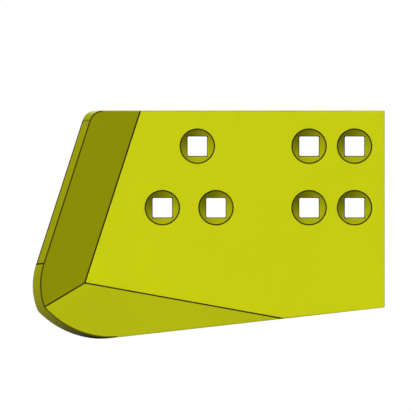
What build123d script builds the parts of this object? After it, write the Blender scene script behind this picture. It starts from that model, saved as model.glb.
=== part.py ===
from build123d import *
import os
from math import cos, radians, sin, tan

# End bit for the outer end of a dozer blade: one steel plate with its outer side and its foot bent forward.
# Millimetres. X runs along the blade towards its middle, Z is up and the front faces -Y.
# The origin is the middle of the inner four bolt holes, on the flat back that bears on the blade.

# Bolt holes, each with a square for the bolt's neck and a cone for its head
bolt_row_pitch = 82.55            # height from the lower row to the upper row
inner_column_pitch = 61.0         # between the two inner columns
upper_outer_step = 150.0          # from the inner columns out to the single upper hole
lower_middle_step = 125.0         # from the inner columns out to the next lower hole
lower_outer_step = 72.0           # from that hole out to the last lower hole
neck_square = 26.0                # side of the square
neck_corner_radius = 1.5
head_diameter = 45.5              # of the cone, at the front face
head_cone_angle = 80.0            # degrees, across the whole cone
cut_lead = 1.0                    # how far each hole's cut starts outside the metal

# Outline, drawn level with the flat back
inner_end_margin = 40.6           # from the inner column to the square inner end
top_margin = 47.9                 # from the upper row to the top edge
inner_end_height = 264.3
top_length = 421.3                # along the top, to where the outer side would meet it
outer_edge_lean = 17.9            # degrees from upright, with the foot further out
bottom_edge_slope = 6.4           # degrees, falling towards the outer end
top_corner_radius = 18.5          # the upper outer corner, square to the edge that it rounds, as is the next
nose_radius = 80.5                # the lower outer corner

# Plate, and the two bands that bend forward from the flat along the outer side and along the bottom
plate_thickness = 21.5
flat_top_length = 328.0           # along the top of the flat, from the inner end to the outer valley
outer_valley_length = 243.2       # down the outer valley, from the top to where the valleys meet
lower_valley_slope = 10.2         # degrees, falling towards the inner end
band_tilt = 28.0                  # degrees that both bands rise from the flat

# Softened edges
valley_radius = 3.0
ridge_radius = 8.0                # behind each valley, on the back
edge_radius = 1.5

# Places and directions that follow from the sizes above
inner_column_x = inner_column_pitch / 2
inner_end_x = inner_column_x + inner_end_margin
upper_row_z = bolt_row_pitch / 2
top_z = upper_row_z + top_margin
down_outer_edge = Vector(-sin(radians(outer_edge_lean)), -cos(radians(outer_edge_lean)))
in_along_bottom = Vector(cos(radians(bottom_edge_slope)), sin(radians(bottom_edge_slope)))
in_along_valley = Vector(cos(radians(lower_valley_slope)), -sin(radians(lower_valley_slope)))
valleys_meet = Vector(inner_end_x - flat_top_length, top_z) + down_outer_edge * outer_valley_length
band_rise_limit = inner_end_height * tan(radians(band_tilt))   # more than the bands rise anywhere
reach = 2 * (top_length + inner_end_height)   # longer than anything on the part
side_normal_limit = sin(radians(45))          # a face whose normal has less than this along Y is a side


def bolt_centres():
    """The seven holes as (x, z): four on the inner pattern, one more in the upper row, two in the lower."""
    upper_outer_x = -inner_column_x - upper_outer_step
    lower_middle_x = -inner_column_x - lower_middle_step
    upper = (inner_column_x, -inner_column_x, upper_outer_x)
    lower = (inner_column_x, -inner_column_x, lower_middle_x, lower_middle_x - lower_outer_step)
    return [(x, upper_row_z) for x in upper] + [(x, -upper_row_z) for x in lower]


def outline():
    """The four straight sides, before the outer corners are rounded."""
    inner_top = Vector(inner_end_x, top_z)
    inner_foot = Vector(inner_end_x, top_z - inner_end_height)
    outer_top = Vector(inner_end_x - top_length, top_z)
    # The outer side runs down until it meets the line of the bottom edge
    across_bottom = Vector(-in_along_bottom.Y, in_along_bottom.X)
    drop = (inner_foot - outer_top).dot(across_bottom) / down_outer_edge.dot(across_bottom)
    outer_foot = outer_top + down_outer_edge * drop
    return make_face(Polyline(inner_top, inner_foot, outer_foot, outer_top, close=True))


def blank():
    """The outline carried forward on a slant, so that the outer side is square to its band."""
    # The slant runs along the bottom edge, so the bottom stays square to the flat
    slant = tan(radians(band_tilt)) / cos(radians(outer_edge_lean + bottom_edge_slope))
    forward = Vector(in_along_bottom.X * slant, -1, in_along_bottom.Y * slant)
    body = extrude(Plane.XZ * outline(), amount=band_rise_limit * forward.length, dir=forward)
    # The inner end and the top stay square to the flat
    body = split(body, bisect_by=Plane.YZ.offset(inner_end_x), keep=Keep.BOTTOM)
    body = split(body, bisect_by=Plane.XY.offset(top_z), keep=Keep.BOTTOM)
    outer_side_edges = body.faces().sort_by(Axis.X)[0].edges().sort_by(Axis.Z)
    nose = outer_side_edges[0]
    top_corner = outer_side_edges[-1]
    rounded = fillet(nose, nose_radius)
    return rounded.fillet(top_corner_radius, [top_corner])


def front_plane(along, tilt):
    """The front of the flat, turned by the tilt about a line through the point where the valleys meet."""
    meeting_point = (valleys_meet.X, -plate_thickness, valleys_meet.Y)
    level = Plane(origin=meeting_point, x_dir=(along.X, 0, along.Y), z_dir=(0, -1, 0))
    return level * Rot(tilt, 0, 0)


def space_before(plane):
    """Everything in front of a front plane."""
    return plane * Box(reach, reach, reach, align=(Align.CENTER, Align.CENTER, Align.MIN))


def space_behind(plane):
    """Everything behind the plate that has this front plane."""
    space = Box(reach, reach, reach, align=(Align.CENTER, Align.CENTER, Align.MAX))
    return plane * Pos(0, 0, -plate_thickness) * space


def bent_plate():
    """The blank cut to one thickness. Both bands rise from the flat and their valleys meet at one point."""
    flat = front_plane(in_along_valley, 0)
    outer_band = front_plane(down_outer_edge, -band_tilt)
    lower_band = front_plane(in_along_valley, -band_tilt)
    open_front = space_before(flat) & space_before(outer_band) & space_before(lower_band)
    return blank() - open_front - space_behind(outer_band) - space_behind(lower_band)


def shared_edges(faces, others):
    """The edges where a face of the first list meets a face of the second."""
    other_edges = {edge for face in others for edge in face.edges()}
    return [edge for face in faces for edge in face.edges() if edge in other_edges]


def inner_bends(faces):
    """The edges between the faces of one list."""
    return {edge for face in faces for edge in shared_edges([face], [f for f in faces if f != face])}


def soften_bends(body):
    """Rounds the three valleys of the front and the three ridges of the back."""
    fronts = body.faces().filter_by(lambda face: face.normal_at().Y < -side_normal_limit)
    body = fillet(inner_bends(fronts), valley_radius)
    backs = body.faces().filter_by(lambda face: face.normal_at().Y > side_normal_limit)
    return fillet(inner_bends(backs), ridge_radius)


def soften_outline(body):
    """Rounds the edges all round the front and the back, and the two corners of the inner end."""
    sides = body.faces().filter_by(lambda face: abs(face.normal_at().Y) < side_normal_limit)
    fronts_and_back = [face for face in body.faces() if face not in sides]
    inner_end = body.faces().sort_by(Axis.X)[-1]
    return fillet({*shared_edges(sides, fronts_and_back), *inner_end.edges()}, edge_radius)


def bolt_hole(x, z):
    """The metal to take out for one hole: a square right through, with a cone that runs into it."""
    front = Plane(origin=(x, -plate_thickness, z), x_dir=(1, 0, 0), z_dir=(0, -1, 0))
    square = front * RectangleRounded(neck_square, neck_square, neck_corner_radius)
    depth_per_radius = 1 / tan(radians(head_cone_angle / 2))
    cone_depth = head_diameter / 2 * depth_per_radius
    mouth_radius = head_diameter / 2 + cut_lead / depth_per_radius
    cone = Cone(0, mouth_radius, cone_depth + cut_lead, align=(Align.CENTER, Align.CENTER, Align.MIN))
    neck = extrude(square, amount=plate_thickness + cut_lead, both=True)
    return neck + front * Pos(0, 0, -cone_depth) * cone


def end_bit():
    """The finished plate."""
    body = soften_outline(soften_bends(bent_plate()))
    return body - [bolt_hole(x, z) for x, z in bolt_centres()]


os.makedirs("parts", exist_ok=True)
export_step(end_bit(), "parts/end_bit.step")
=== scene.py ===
import itertools
import math

import bmesh
import bpy
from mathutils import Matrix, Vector


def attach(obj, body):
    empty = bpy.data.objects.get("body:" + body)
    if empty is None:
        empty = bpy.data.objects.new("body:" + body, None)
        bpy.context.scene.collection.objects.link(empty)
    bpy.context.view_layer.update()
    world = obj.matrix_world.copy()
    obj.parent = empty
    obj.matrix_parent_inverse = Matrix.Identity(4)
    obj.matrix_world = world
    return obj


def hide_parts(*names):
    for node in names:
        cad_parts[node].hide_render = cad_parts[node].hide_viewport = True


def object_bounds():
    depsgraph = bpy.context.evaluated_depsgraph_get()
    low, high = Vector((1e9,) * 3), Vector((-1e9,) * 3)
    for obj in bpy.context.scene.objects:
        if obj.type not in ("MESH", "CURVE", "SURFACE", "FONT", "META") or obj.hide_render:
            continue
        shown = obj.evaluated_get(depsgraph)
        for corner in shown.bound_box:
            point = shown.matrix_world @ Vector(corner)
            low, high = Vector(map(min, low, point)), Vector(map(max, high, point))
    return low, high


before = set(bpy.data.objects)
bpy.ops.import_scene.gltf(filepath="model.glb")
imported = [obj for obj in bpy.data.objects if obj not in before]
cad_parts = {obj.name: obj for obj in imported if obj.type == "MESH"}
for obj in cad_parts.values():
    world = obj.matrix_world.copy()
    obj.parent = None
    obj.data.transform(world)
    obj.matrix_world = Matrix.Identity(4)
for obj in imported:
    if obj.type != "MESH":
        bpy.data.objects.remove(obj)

mm = 0.001
bpy.context.view_layer.update()
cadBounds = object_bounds()  # the bare steel plate's box
print("plate loaded")

limits = {
    # Lengths, then angles, then the dot products of two directions
    "merge": 0.002 * mm,               # corners closer than this become one
    "slice": 0.001 * mm,               # and a cut goes through a corner this close to it
    "sliver": 0.005 * mm,              # thinner faces are dissolved after the last cut
    "onFlat": 0.01 * mm,
    "besideFlat": 0.5 * mm,            # a bend's rounding stays within this of both its flats
    "flatTurn": math.radians(0.15),    # faces that turn less than this become one
    "lipTurn": math.radians(20),       # and a hole's edges are rounded where they turn more than this
    "sameWay": 0.99999,
    "square": 0.01,
    "holeWall": 0.95,                  # a hole's walls face less than this along Y
    "frontFlat": 0.8,                  # the front's flats face more than this forward
    "forward": 0.02,                   # and its roundings more than this
    "sharedShading": 0.8,              # for faces that share a normal at a corner
}


# Shared helpers for node trees

def addNode(tree, kind, inputs=None, **settings):
    node = tree.nodes.new(kind)
    for name, value in settings.items():
        setattr(node, name, value)
    for name, value in (inputs or {}).items():
        socket = node.inputs[name]
        if isinstance(value, bpy.types.NodeSocket):
            tree.links.new(value, socket)
        else:
            socket.default_value = value
    return node


def mathNode(tree, operation, *values):
    return addNode(tree, "ShaderNodeMath", dict(enumerate(values)), operation=operation).outputs[0]


# Paint: satin yellow-green enamel on steel, with fine dark lines: painted shade in the bends and round the
# necks, plain dark lines on the outer edge, its joints and the hole lips

paint = {
    "colour": (0.52, 0.541, 0.0055),
    "deeper": (0.50, 0.524, 0.005),       # slow drift of the coat's tone
    "shadeAndLineColour": (0.03, 0.03, 0.004),  # fine dark lines: painted shade along the bends and round the necks, plain dark lines on the outer edge and the hole lips
    "driftSize": 160 * mm,
    "driftDetail": 3.0,
    "driftSpan": (0.35, 0.65),            # the part of the noise's range that the tone goes through
    "roughness": 0.2,
    "creaseRoughness": 0.9,
    "roughnessDrift": 0.01,
    "glossTint": (0.95, 1.0, 0.015),
    "glossSize": 160 / 6 * mm,            # of the patches where the roughness drifts
    "glossDetail": 4.0,
    "peelSize": 1.6 * mm,                 # orange peel of a sprayed coat
    "peelDetail": 1.0,
    "peelDepth": 0.012 * mm,
    "castSize": 9 * mm,                   # slow unevenness of the steel under the coat
    "castDetail": 2.0,
    "castDepth": 0.02 * mm,
}


def makePaint():
    material = bpy.data.materials.new("yellowEnamel")
    material.use_nodes = True
    tree = material.node_tree
    tree.nodes.clear()
    place = addNode(tree, "ShaderNodeTexCoord").outputs["Object"]

    def noise(name):
        return addNode(tree, "ShaderNodeTexNoise", {
            "Vector": place, "Scale": 1 / paint[name + "Size"], "Detail": paint[name + "Detail"],
        }).outputs[0]

    def blend(factor, first, second):
        # Sockets 6, 7 and output 2 are a mix node's colours
        sockets = {0: factor, 6: first, 7: second}
        return addNode(tree, "ShaderNodeMix", sockets, data_type="RGBA").outputs[2]

    drift = addNode(tree, "ShaderNodeMapRange", {
        "Value": noise("drift"),
        "From Min": paint["driftSpan"][0], "From Max": paint["driftSpan"][1],
    }).outputs[0]
    tone = blend(drift, (*paint["colour"], 1), (*paint["deeper"], 1))
    # The crease attribute mixes the dark lines into the colour: painted shade in the bends and round the
    # necks, plain dark lines elsewhere
    crease = addNode(tree, "ShaderNodeAttribute", attribute_name="crease").outputs["Fac"]
    shaded = blend(crease, tone, (*paint["shadeAndLineColour"], 1))

    openRough = addNode(tree, "ShaderNodeMapRange", {
        "Value": noise("gloss"),
        "To Min": paint["roughness"] - paint["roughnessDrift"],
        "To Max": paint["roughness"] + paint["roughnessDrift"],
    }).outputs[0]
    rough = addNode(tree, "ShaderNodeMapRange", {
        "Value": crease, "To Min": openRough, "To Max": paint["creaseRoughness"],
    }).outputs[0]

    castBump = addNode(tree, "ShaderNodeBump", {
        "Height": noise("cast"), "Distance": paint["castDepth"],
    }).outputs[0]
    peelBump = addNode(tree, "ShaderNodeBump", {
        "Height": noise("peel"), "Distance": paint["peelDepth"], "Normal": castBump,
    }).outputs[0]
    surface = addNode(tree, "ShaderNodeBsdfPrincipled", {
        "Base Color": shaded, "Roughness": rough, "Normal": peelBump,
        "Specular Tint": (*paint["glossTint"], 1),
    })
    addNode(tree, "ShaderNodeOutputMaterial", {"Surface": surface.outputs[0]})
    return material


yellowEnamel = makePaint()
print("paint mixed")


# Bolt holes: a square for the bolt's neck that runs into a cone for its head

boltHoles = {
    "rowPitch": 82.55 * mm,
    "columnPitch": 61 * mm,
    "upperOuterStep": 150 * mm,
    "lowerMiddleStep": 125 * mm,
    "lowerOuterStep": 72 * mm,
    "headDiameter": 45.5 * mm,
    "headAngle": math.radians(80),
    "neckSide": 26 * mm,
    "neckCorner": 1.5 * mm,
    "headSides": 128,
    "cornerSides": 6,
    "overrun": 2 * mm,              # how far the cutting shapes reach past the plate
    "tipShare": 0.4,                # radius of the cone's cut-off tip in neck sides, inside the square
    "mouthRound": 1.15 * mm,
    "neckRound": 0.5 * mm,
    "backRound": 0.8 * mm,
    "roundSteps": 3,
    "roundProfile": 0.5,            # 0.5 is a true round
    "neckShadeLine": 1.0 * mm,           # width of the dark line of painted shade on the cone, all round the square
    "wallMargin": 0.3 * mm,         # how far round a hole its old walls are looked for
}

plate = {
    "thickness": 21.5 * mm,
    "broadArea": 1000 * mm * mm,    # every flat of the plate is larger than this
    "bendShadeLine": 2.1 * mm,           # width of the fine lines of painted shade along the bends
    "jointLine": 2.3 * mm,          # width of the fine lines where the outer side meets its round corners
    "backLine": 2.4 * mm,           # width of the fine line down the back edge of the outer side
    "backLineEnd": 0.3,             # it ends on the rounding, where the normal has this much along Y
    "upperJointDark": 0.5,
    "lowerJointDark": 1.0,
    "edgeLineDark": 0.85,           # the line round the front edge of the outer side and the nose
    "edgeRound": 1.5 * mm,
    "edgeHold": 4,                  # how late the shading turns round the outline, 0 for an even turn
}


def boltCentres():
    inner = boltHoles["columnPitch"] / 2
    middle = -inner - boltHoles["lowerMiddleStep"]
    upper = [inner, -inner, -inner - boltHoles["upperOuterStep"]]
    lower = [inner, -inner, middle, middle - boltHoles["lowerOuterStep"]]
    half = boltHoles["rowPitch"] / 2
    return [(x, half) for x in upper] + [(x, -half) for x in lower]


def holeAt(point, reach):
    return any(math.hypot(point.x - x, point.z - z) < reach for x, z in boltCentres())


def plateBlank():
    # The plate without its holes: hole walls go, their rims are filled and flat areas become one face each
    bm = bmesh.new()
    bm.from_mesh(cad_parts["end_bit"].data)
    bmesh.ops.remove_doubles(bm, verts=bm.verts, dist=limits["merge"])
    reach = boltHoles["headDiameter"] / 2 + boltHoles["wallMargin"]

    def inHole(face):
        return holeAt(face.calc_center_median(), reach) and abs(face.normal.y) < limits["holeWall"]

    bmesh.ops.delete(bm, geom=[f for f in bm.faces if inHole(f)], context="FACES")
    bmesh.ops.holes_fill(bm, edges=[e for e in bm.edges if e.is_boundary], sides=0)
    bmesh.ops.dissolve_limit(bm, angle_limit=limits["flatTurn"], verts=bm.verts, edges=bm.edges)
    bmesh.ops.recalc_face_normals(bm, faces=bm.faces)
    mesh = bpy.data.meshes.new("plateBlank")
    bm.to_mesh(mesh)
    bm.free()
    return mesh


def holeTree():
    tree = bpy.data.node_groups.new("boltHoleCutter", "GeometryNodeTree")
    socket = tree.interface.new_socket
    socket("Geometry", in_out="INPUT", socket_type="NodeSocketGeometry")
    socket("Hole Centres", in_out="INPUT", socket_type="NodeSocketObject")
    for name in ("Plate Thickness", "Head Diameter", "Neck Side", "Neck Corner", "Overrun"):
        socket(name, in_out="INPUT", socket_type="NodeSocketFloat").subtype = "DISTANCE"
    socket("Head Angle", in_out="INPUT", socket_type="NodeSocketFloat").subtype = "ANGLE"
    socket("Tip Share", in_out="INPUT", socket_type="NodeSocketFloat")
    for name in ("Head Sides", "Corner Sides"):
        socket(name, in_out="INPUT", socket_type="NodeSocketInt")
    socket("Paint", in_out="INPUT", socket_type="NodeSocketMaterial")
    socket("Geometry", in_out="OUTPUT", socket_type="NodeSocketGeometry")
    given = addNode(tree, "NodeGroupInput").outputs

    def onAxis(height):
        return addNode(tree, "ShaderNodeCombineXYZ", {"Z": height}).outputs[0]

    # Cone for the bolt's head, axis along Z, widest a little in front of the plate
    headRadius = mathNode(tree, "DIVIDE", given["Head Diameter"], 2.0)
    slope = mathNode(tree, "TANGENT", mathNode(tree, "DIVIDE", given["Head Angle"], 2.0))
    mouthRadius = mathNode(tree, "MULTIPLY_ADD", given["Overrun"], slope, headRadius)
    mouthHeight = mathNode(tree, "ADD", given["Plate Thickness"], given["Overrun"])
    tipRadius = mathNode(tree, "MULTIPLY", given["Neck Side"], given["Tip Share"])
    coneDepth = mathNode(tree, "DIVIDE", mathNode(tree, "SUBTRACT", mouthRadius, tipRadius), slope)
    cone = addNode(tree, "GeometryNodeMeshCone", {
        "Vertices": given["Head Sides"], "Depth": coneDepth,
        "Radius Top": mouthRadius, "Radius Bottom": tipRadius,
    }).outputs["Mesh"]
    coneFoot = onAxis(mathNode(tree, "SUBTRACT", mouthHeight, coneDepth))
    cone = addNode(tree, "GeometryNodeTransform", {"Geometry": cone, "Translation": coneFoot}).outputs[0]

    # Square neck with rounded corners, right through the plate
    square = addNode(tree, "GeometryNodeCurvePrimitiveQuadrilateral", {
        "Width": given["Neck Side"], "Height": given["Neck Side"],
    }).outputs[0]
    rounded = addNode(tree, "GeometryNodeFilletCurve", {
        "Curve": square, "Count": given["Corner Sides"], "Radius": given["Neck Corner"],
    }, mode="POLY").outputs[0]
    start = onAxis(mathNode(tree, "MULTIPLY", given["Overrun"], -1.0))
    # Half the overrun, so that its end and the cone's don't lie in one plane
    end = onAxis(mathNode(tree, "MULTIPLY_ADD", given["Overrun"], 0.5, given["Plate Thickness"]))
    line = addNode(tree, "GeometryNodeCurvePrimitiveLine", {"Start": start, "End": end}).outputs[0]
    neck = addNode(tree, "GeometryNodeCurveToMesh", {
        "Curve": line, "Profile Curve": rounded, "Fill Caps": True,
    }).outputs[0]

    # One of each at every hole centre, turned so that Z faces the front
    centres = addNode(tree, "GeometryNodeObjectInfo", {"Object": given["Hole Centres"]}).outputs["Geometry"]
    points = addNode(tree, "GeometryNodeMeshToPoints", {"Mesh": centres}).outputs[0]
    towardsFront = addNode(tree, "FunctionNodeEulerToRotation", {"Euler": (math.pi / 2, 0, 0)}).outputs[0]

    def atEveryHole(geometry):
        placed = addNode(tree, "GeometryNodeInstanceOnPoints", {
            "Points": points, "Instance": geometry, "Rotation": towardsFront,
        }).outputs[0]
        return addNode(tree, "GeometryNodeRealizeInstances", {"Geometry": placed}).outputs[0]

    cut = addNode(tree, "GeometryNodeMeshBoolean", {
        "Mesh 1": given["Geometry"],
    }, operation="DIFFERENCE", solver="EXACT")
    for shape in (cone, neck):
        tree.links.new(atEveryHole(shape), cut.inputs["Mesh 2"])
    lips = addNode(tree, "GeometryNodeStoreNamedAttribute", {
        "Geometry": cut.outputs["Mesh"], "Name": "holeLip", "Value": cut.outputs["Intersecting Edges"],
    }, data_type="BOOLEAN", domain="EDGE").outputs[0]
    realized = addNode(tree, "GeometryNodeRealizeInstances", {"Geometry": lips}).outputs[0]
    painted = addNode(tree, "GeometryNodeSetMaterial", {"Geometry": realized, "Material": given["Paint"]})
    addNode(tree, "NodeGroupOutput", {"Geometry": painted.outputs[0]})
    return tree


def cutHoles(mesh):
    pattern = bpy.data.meshes.new("holeCentres")
    pattern.from_pydata([(x, 0, z) for x, z in boltCentres()], [], [])
    patternObject = bpy.data.objects.new("holeCentres", pattern)
    worked = bpy.data.objects.new("plateToCut", mesh)
    for piece in (patternObject, worked):
        bpy.context.scene.collection.objects.link(piece)
    modifier = worked.modifiers.new("boltHoles", "NODES")
    modifier.node_group = holeTree()
    values = {
        "Hole Centres": patternObject,
        "Plate Thickness": plate["thickness"],
        "Head Diameter": boltHoles["headDiameter"],
        "Neck Side": boltHoles["neckSide"],
        "Neck Corner": boltHoles["neckCorner"],
        "Overrun": boltHoles["overrun"],
        "Tip Share": boltHoles["tipShare"],
        "Head Angle": boltHoles["headAngle"],
        "Head Sides": boltHoles["headSides"],
        "Corner Sides": boltHoles["cornerSides"],
        "Paint": yellowEnamel,
    }
    for item in modifier.node_group.interface.items_tree:
        if item.name in values and item.in_out == "INPUT":
            modifier[item.identifier] = values[item.name]
    bpy.context.view_layer.update()
    depsgraph = bpy.context.evaluated_depsgraph_get()
    result = bpy.data.meshes.new_from_object(worked.evaluated_get(depsgraph), depsgraph=depsgraph)
    for piece in (worked, patternObject):
        bpy.data.objects.remove(piece)
    return result


blankMesh = plateBlank()
print("blank", len(blankMesh.vertices), len(blankMesh.polygons))
cutMesh = cutHoles(blankMesh)
print("bolt holes cut", len(cutMesh.vertices), len(cutMesh.polygons))


# Each broad flat of the plate, as its normal and its level along that
broad = [face for face in blankMesh.polygons if face.area > plate["broadArea"]]
flats = [(face.normal.copy(), face.normal.dot(face.center)) for face in broad]
frontFlats = [flat for flat in flats if flat[0].y < -limits["frontFlat"]]
outerSide = min(flats, key=lambda flat: flat[0].x)
topSide = max(flats, key=lambda flat: flat[0].z)
bottomSide = min(flats, key=lambda flat: flat[0].z)
# The lines that the top corner, 1, and the nose, -1, are rounded about
cornerAxes = {
    1: outerSide[0].cross(topSide[0]).normalized(),
    -1: outerSide[0].cross(bottomSide[0]).normalized(),
}
print("flats", len(flats))


def offFlat(flat, point):
    return abs(flat[0].dot(point) - flat[1])


def besideFlat(flat, point):
    return offFlat(flat, point) < limits["besideFlat"]


def onFlat(flat, face):
    near = offFlat(flat, face.calc_center_median()) < limits["onFlat"]
    return near and face.normal.dot(flat[0]) > limits["sameWay"]


def endOf(point):
    return 1 if point.z > 0 else -1


def atBack(point):
    # Where the point lands when it is carried to the back face along the corner's own line
    axis = cornerAxes[endOf(point)]
    return point - axis * (point.y / axis.y)


def onOuterRound(face):
    # On the outer side, its top corner or the nose, which all run square to their corner's line
    axis = cornerAxes[endOf(face.calc_center_median())]
    return face.normal.x < 0 and abs(face.normal.dot(axis)) < limits["square"]


def rankOf(face):
    # 3 for a flat, 2 for a cone or the round of the outer side, 1 for a small rounding between them
    if any(onFlat(flat, face) for flat in flats):
        return 3
    if holeAt(face.calc_center_median(), boltHoles["headDiameter"] / 2):
        normal = face.normal
        if max(abs(normal.x), abs(normal.z)) > limits["sameWay"]:
            return 3
        return 2 if abs(normal.y + math.sin(boltHoles["headAngle"] / 2)) < limits["square"] else 1
    return 2 if onOuterRound(face) else 1


def cornersOn(flat, bm):
    return [v.co.copy() for f in bm.faces if onFlat(flat, f) for v in f.verts]


def sliceFaces(bm, faces, point, normal):
    around = {*faces, *(e for f in faces for e in f.edges), *(v for f in faces for v in f.verts)}
    bmesh.ops.bisect_plane(bm, geom=list(around), plane_co=point, plane_no=normal, dist=limits["slice"])


def roundLips(bm):
    # Rounds the edges that the cut left sharp, and returns the new faces on the front side
    lip = bm.edges.layers.bool.get("holeLip")
    headReach = boltHoles["headDiameter"] / 2
    groups = {"mouthRound": [], "neckRound": [], "backRound": []}
    for edge in bm.edges:
        if not edge[lip] or len(edge.link_faces) != 2 or edge.calc_face_angle() < limits["lipTurn"]:
            continue
        middle = (edge.verts[0].co + edge.verts[1].co) / 2
        if middle.y > -limits["besideFlat"]:
            groups["backRound"].append(edge)
        elif holeAt(middle, headReach - limits["besideFlat"]):
            groups["neckRound"].append(edge)
        else:
            groups["mouthRound"].append(edge)
    front = []
    for name, edges in groups.items():
        made = bmesh.ops.bevel(
            bm, geom=edges, affect="EDGES", offset_type="OFFSET", offset=boltHoles[name],
            segments=boltHoles["roundSteps"], profile=boltHoles["roundProfile"], clamp_overlap=False,
        )
        if name != "backRound":
            front += made["faces"]
    return front


def markJoints(bm, crease):
    # Two fine lines across the outer side, where it runs into the top corner and into the nose
    corners = cornersOn(outerSide, bm)
    half = plate["jointLine"] / 2
    for name, end in (("upperJointDark", 1), ("lowerJointDark", -1)):
        along = outerSide[0].cross(cornerAxes[end]).normalized()
        along = along if along.z * end > 0 else -along
        level = max(along.dot(p) for p in corners)
        for offset in (-half, half):
            sliceFaces(bm, [f for f in bm.faces if onOuterRound(f)], along * (level + offset), along)
        for face in bm.faces:
            away = abs(along.dot(face.calc_center_median()) - level)
            if away < half and onOuterRound(face):
                face[crease] = plate[name]


def markBackEdge(bm, crease):
    # One fine dark line down the back edge of the outer side, from one round corner to the other
    down = outerSide[0].cross(Vector((0, 1, 0))).normalized()
    toBack = down.cross(outerSide[0])
    toBack = toBack if toBack.y > 0 else -toBack
    corners = cornersOn(outerSide, bm)
    level = max(toBack.dot(p) for p in corners) - plate["backLine"]
    sliceFaces(bm, [f for f in bm.faces if onFlat(outerSide, f)], toBack * level, toBack)
    start, end = min(down.dot(p) for p in corners), max(down.dot(p) for p in corners)
    for face in bm.faces:
        centre = face.calc_center_median()
        inLine = toBack.dot(centre) > level and start < down.dot(centre) < end
        onSide = offFlat(outerSide, centre) < plate["edgeRound"]
        if inLine and onSide and face.normal.y < plate["backLineEnd"]:
            face[crease] = 1.0


def markBends(bm, crease):
    # One fine dark line of painted shade along each of the three bends of the front
    half = plate["bendShadeLine"] / 2
    for first, second in itertools.combinations(frontFlats, 2):
        lean = first[0].dot(second[0])
        # A point on the line where the two flats would meet
        onLine = first[0] * (first[1] - second[1] * lean) + second[0] * (second[1] - first[1] * lean)
        onLine /= 1 - lean * lean
        across = first[0].cross(second[0]).cross(first[0] + second[0]).normalized()

        def besideBend():
            faces = [(f, f.calc_center_median()) for f in bm.faces if f.normal.y < -limits["frontFlat"]]
            return [f for f, centre in faces if besideFlat(first, centre) or besideFlat(second, centre)]

        for offset in (-half, half):
            sliceFaces(bm, besideBend(), onLine + across * offset, across)
        for face in besideBend():
            centre = face.calc_center_median()
            inLine = abs(across.dot(centre - onLine)) < half
            if inLine and offFlat(first, centre) < half and offFlat(second, centre) < half:
                face[crease] = 1.0


def markNecks(bm, crease):
    # A fine dark line of painted shade on each cone, round the square that it runs into
    half = boltHoles["neckSide"] / 2 + boltHoles["neckShadeLine"]
    reach = boltHoles["headDiameter"] / 2
    for x, z in boltCentres():
        middle = Vector((x, 0, z))

        def coneFaces():
            faces = [(f, f.calc_center_median() - middle) for f in bm.faces]
            return [f for f, away in faces if math.hypot(away.x, away.z) < reach and rankOf(f) == 2]

        for side in (Vector((1, 0, 0)), Vector((-1, 0, 0)), Vector((0, 0, 1)), Vector((0, 0, -1))):
            sliceFaces(bm, coneFaces(), middle + side * half, side)
        for face in coneFaces():
            away = face.calc_center_median() - middle
            if max(abs(away.x), abs(away.z)) < half:
                face[crease] = 1.0


def markEdges(bm, lips, crease):
    # Fine dark lines round the front edge of the outer side and the nose, and on the hole lips
    for face in lips:
        face[crease] = 1.0
    ends = {}
    for end, flat in ((1, topSide), (-1, bottomSide)):
        ends[end] = min(atBack(p).x for p in cornersOn(flat, bm))
    for face in bm.faces:
        centre = face.calc_center_median()
        inFront = rankOf(face) == 1 and face.normal.y <= -limits["forward"]
        if not inFront or holeAt(centre, boltHoles["headDiameter"]):
            continue
        inBend = sum(besideFlat(flat, centre) for flat in frontFlats) >= 2
        if not inBend and atBack(centre).x < ends[endOf(centre)]:
            face[crease] = plate["edgeLineDark"]


def heldByFront(normal, point):
    # Round the outline the shading stays with the front for most of the turn, so that the edge looks crisp
    nearest, second = sorted(frontFlats, key=lambda flat: offFlat(flat, point))[:2]
    atEdge = offFlat(nearest, point) <= plate["edgeRound"] and not besideFlat(second, point)
    share = nearest[0].angle(normal) / (math.pi / 2)
    if not atEdge or share >= 1 or holeAt(point, boltHoles["headDiameter"]):
        return normal
    return nearest[0].slerp(normal, share ** plate["edgeHold"])


def cornerNormals(bm):
    # Flats stay truly flat and pass their normal on to the roundings beside them
    ranks = {face: rankOf(face) for face in bm.faces}
    normals = []
    for face in bm.faces:
        for corner in face.loops:
            if ranks[face] == 3:
                normals.append(face.normal.copy())
                continue
            near = [
                f for f in corner.vert.link_faces
                if ranks[f] >= ranks[face] and f.normal.dot(face.normal) > limits["sharedShading"]
            ]
            highest = max(ranks[f] for f in near)
            total = Vector((0, 0, 0))
            for f in near:
                if ranks[f] == highest:
                    total += f.normal * (f.calc_area() if highest < 3 else 1)
            own = total.normalized()
            normals.append(heldByFront(own, corner.vert.co) if highest == 1 else own)
    return normals


def finishPlate(mesh):
    bm = bmesh.new()
    bm.from_mesh(mesh)
    bmesh.ops.remove_doubles(bm, verts=bm.verts, dist=limits["merge"])
    crease = bm.faces.layers.float.new("crease")
    lips = roundLips(bm)
    markJoints(bm, crease)
    markBackEdge(bm, crease)
    markNecks(bm, crease)
    markBends(bm, crease)
    markEdges(bm, [f for f in lips if f.is_valid], crease)
    bmesh.ops.dissolve_degenerate(bm, dist=limits["sliver"], edges=bm.edges)
    for face in bm.faces:
        face.smooth = True
    normals = cornerNormals(bm)
    out = bpy.data.meshes.new("end_bit_painted")
    bm.to_mesh(out)
    bm.free()
    out.normals_split_custom_set(normals)
    return out


paintedMesh = finishPlate(cutMesh)
paintedMesh.materials.clear()
paintedMesh.materials.append(yellowEnamel)
endBit = bpy.data.objects.new("end_bit_painted", paintedMesh)
bpy.context.scene.collection.objects.link(endBit)
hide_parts("end_bit")
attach(endBit, "root")
print("plate painted", len(paintedMesh.vertices), len(paintedMesh.polygons))


# Studio

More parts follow.
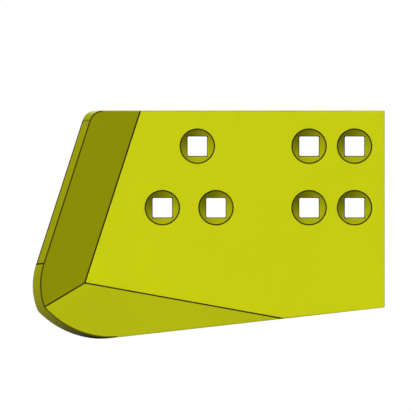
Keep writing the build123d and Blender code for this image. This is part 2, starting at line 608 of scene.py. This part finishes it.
studio = {
    "backdropLight": 1.0,                # white to the camera
    "ambient": 0.03,
    "backdropEdge": (0.75, 0.9),         # how straight behind the backdrop starts, and where it is full
    "floorDrop": 0.2 * mm,
    "floorColour": (0.85, 0.85, 0.85),
    "floorBounce": (0.05, 0.05, 0.05),   # what the object gets back from it
    "floorMirrored": 0.12,               # how much of its own colour the gloss of the paint shows
    "floorSize": 6.0,
}


def paleFor(tree, mirrored):
    # 1 for the camera, and the given share for rays that the object mirrors or lets through
    rays = addNode(tree, "ShaderNodeLightPath").outputs
    bounced = mathNode(tree, "MAXIMUM", rays["Is Glossy Ray"], rays["Is Transmission Ray"])
    return mathNode(tree, "MAXIMUM", rays["Is Camera Ray"], mathNode(tree, "MULTIPLY", bounced, mirrored))


def makeWorld():
    # White where the camera looks past the object, and as a backdrop behind it in reflections
    world = bpy.data.worlds.new("paleStudio")
    bpy.context.scene.world = world
    world.use_nodes = True
    tree = world.node_tree
    tree.nodes.clear()

    def glow(strength):
        return addNode(tree, "ShaderNodeBackground", {
            "Color": (1, 1, 1, 1), "Strength": strength,
        }).outputs[0]

    direction = addNode(tree, "ShaderNodeTexCoord").outputs["Generated"]
    backward = addNode(tree, "ShaderNodeSeparateXYZ", {0: direction}).outputs["Y"]
    backdrop = addNode(tree, "ShaderNodeMapRange", {
        "Value": backward, "From Min": studio["backdropEdge"][0], "From Max": studio["backdropEdge"][1],
    }).outputs[0]
    mixed = addNode(tree, "ShaderNodeMixShader", {
        0: paleFor(tree, backdrop), 1: glow(studio["ambient"]), 2: glow(studio["backdropLight"]),
    })
    addNode(tree, "ShaderNodeOutputWorld", {"Surface": mixed.outputs[0]})


lamps = {
    # direction that each one shines from, how strong it is, and how wide its disc is in degrees
    "keyLight": {"from": (-0.39, -0.82, 0.4), "strength": 2.12, "spread": 24},
    "topLight": {"from": (0.05, -0.6, 0.8), "strength": 0.2, "spread": 24},
    "cameraLight": {"from": (-0.01, -1.0, 0.045), "strength": 0.21, "spread": 3},
    "backLight": {"from": (0.5, 0.5, 0.7), "strength": 3.4, "spread": 80},
}


def makeLamps():
    for name, lamp in lamps.items():
        light = bpy.data.lights.new(name, "SUN")
        light.energy = lamp["strength"]
        light.angle = math.radians(lamp["spread"])
        placed = bpy.data.objects.new(name, light)
        placed.location = lamp["from"]
        placed.rotation_euler = Vector(lamp["from"]).to_track_quat("Z", "Y").to_euler()
        bpy.context.scene.collection.objects.link(placed)


def makeFloor():
    mesh = bpy.data.meshes.new("studioFloor")
    half = studio["floorSize"] / 2
    level = cadBounds[0].z - studio["floorDrop"]
    corners = [(-half, -half, level), (half, -half, level), (half, half, level), (-half, half, level)]
    mesh.from_pydata(corners, [], [(0, 1, 2, 3)])
    material = bpy.data.materials.new("palePaperFloor")
    material.use_nodes = True
    tree = material.node_tree
    tree.nodes.clear()
    pale = addNode(tree, "ShaderNodeBsdfDiffuse", {"Color": (*studio["floorColour"], 1)})
    dim = addNode(tree, "ShaderNodeBsdfDiffuse", {"Color": (*studio["floorBounce"], 1)})
    mixed = addNode(tree, "ShaderNodeMixShader", {
        0: paleFor(tree, studio["floorMirrored"]), 1: dim.outputs[0], 2: pale.outputs[0],
    })
    addNode(tree, "ShaderNodeOutputMaterial", {"Surface": mixed.outputs[0]})
    mesh.materials.append(material)
    floor = bpy.data.objects.new("studioFloor", mesh)
    bpy.context.scene.collection.objects.link(floor)


makeWorld()
makeLamps()
makeFloor()
print("studio lit")


view = {
    "place": (-0.1662, -2.0, -0.0417),   # straight in front, level with the middle of the picture
    "width": 0.5584,                     # what the picture takes in from side to side
}


def makeCamera():
    camera = bpy.data.cameras.new("frontCamera")
    camera.type = "ORTHO"
    camera.ortho_scale = view["width"]
    placed = bpy.data.objects.new("frontCamera", camera)
    placed.location = view["place"]
    placed.rotation_euler = (math.pi / 2, 0, 0)
    bpy.context.scene.collection.objects.link(placed)
    bpy.context.scene.camera = placed


makeCamera()
bpy.context.scene.view_settings.view_transform = "Standard"
print("camera set")

bpy.context.view_layer.update()
